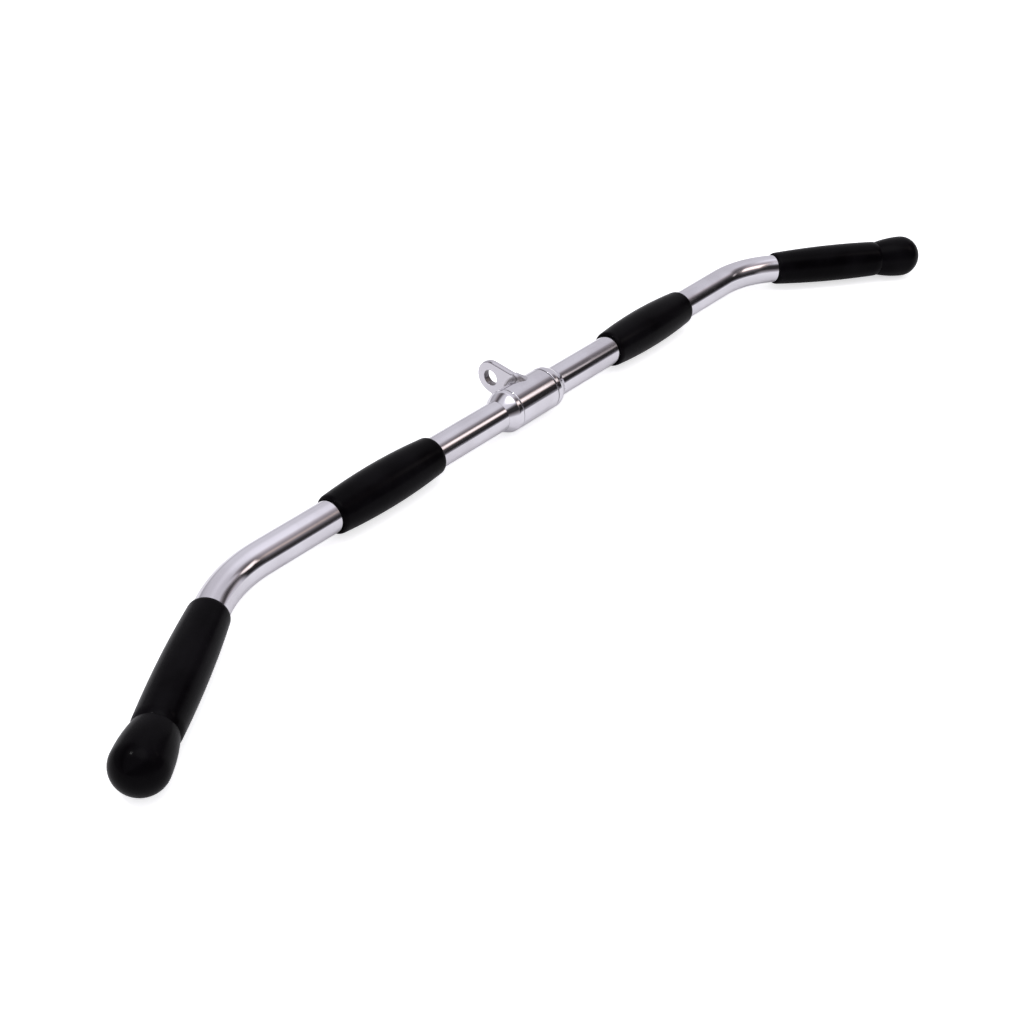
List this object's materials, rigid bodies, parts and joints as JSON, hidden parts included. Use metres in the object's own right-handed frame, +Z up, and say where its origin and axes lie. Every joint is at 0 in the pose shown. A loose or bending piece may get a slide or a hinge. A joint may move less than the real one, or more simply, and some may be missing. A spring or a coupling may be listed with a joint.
{
  "type": "lat pulldown bar",
  "caption": "Bent pulldown bar for a cable machine: chromed tube, revolving hanger with an eyed lug, and moulded rubber grips with ball ends.",
  "frame": {"origin": "on the surface that the bar rests on, under the middle of the bar's outline", "axes": "+X along the bar, -Y the side that both ends bend towards, +Y the side that the lug points to at rest, +Z up"},
  "size_m": [0.969, 0.1596, 0.0391],
  "materials": {
    "chrome_steel": "bright chrome plate on steel",
    "grip_rubber": "smooth moulded black rubber with a low sheen",
    "bush_bronze": "sintered bronze, oiled",
    "black_nylon": "black moulded nylon"
  },
  "bodies": {
    "bar": {"bar_tube": "chrome_steel", "end_plug_left": "black_nylon", "end_plug_right": "black_nylon", "outer_grip_left": "grip_rubber", "outer_grip_right": "grip_rubber", "inner_grip_left": "grip_rubber", "inner_grip_right": "grip_rubber", "stop_collar_left": "chrome_steel", "stop_collar_right": "chrome_steel", "thrust_washer_left": "black_nylon", "thrust_washer_right": "black_nylon"},
    "hanger": {"hanger_sleeve": "chrome_steel", "hanger_lug": "chrome_steel", "hanger_bush_left": "bush_bronze", "hanger_bush_right": "bush_bronze"}
  },
  "joints": [
    {"name": "hanger_turn", "type": "hinge", "parent": "bar", "child": "hanger", "pos_m": [0, 0.03083, 0.0189], "axis": [1, 0, 0], "continuous": true}
  ]
}
